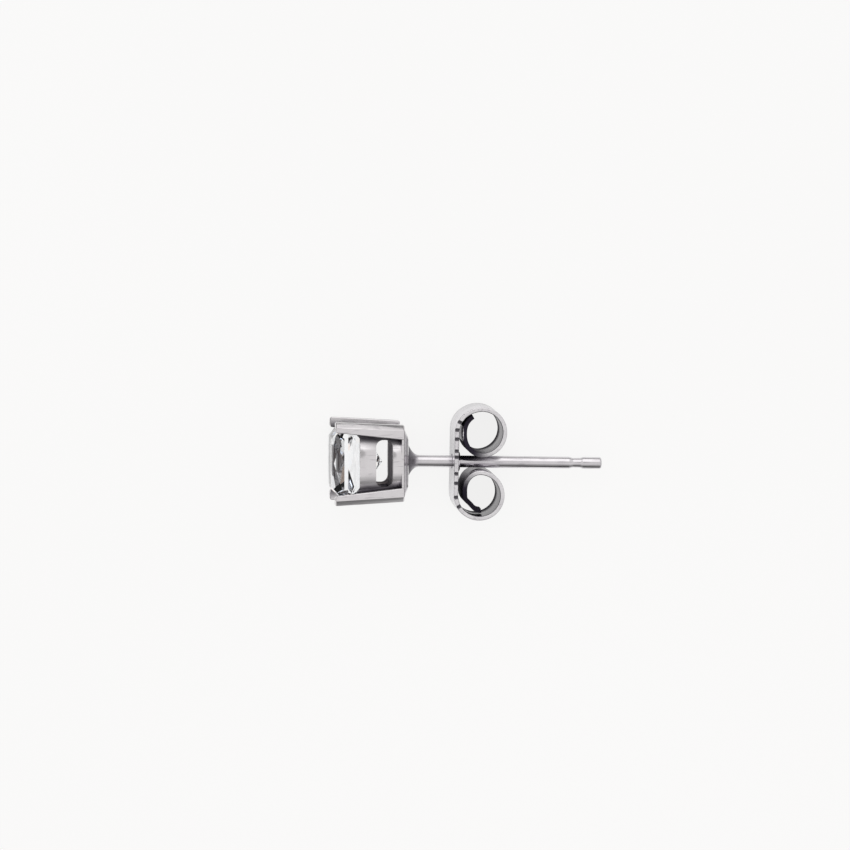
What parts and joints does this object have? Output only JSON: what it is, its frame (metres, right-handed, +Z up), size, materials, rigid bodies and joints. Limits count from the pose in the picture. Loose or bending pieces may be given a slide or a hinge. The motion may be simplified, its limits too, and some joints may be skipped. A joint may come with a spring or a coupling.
{
  "type": "stud earring with butterfly back",
  "caption": "Stud earring: a square clear stone in a four-prong white metal basket on a straight post, with a curled push-on back that slides along the post.",
  "frame": {"origin": "centre of the underside of the part's box, on the surface that the earring lies on", "axes": "+Z up from the surface, +X toward the tip of the post, +Y across the earring"},
  "size_m": [0.0162, 0.0066, 0.005],
  "materials": {
    "white_metal": "polished white metal, bright rhodium-like plating",
    "sheet_metal": "polished white metal sheet with satin cut edges",
    "clear_stone": "clear faceted stone, polished"
  },
  "bodies": {
    "stud": {"setting_post": "white_metal", "stone": "clear_stone"},
    "back": {"butterfly_back": "sheet_metal"}
  },
  "joints": [
    {"name": "back_slide", "type": "slide", "parent": "stud", "child": "back", "axis": [0.9962, -0.0175, -0.0855], "range_m": [-0.00215, 0.00895]}
  ]
}
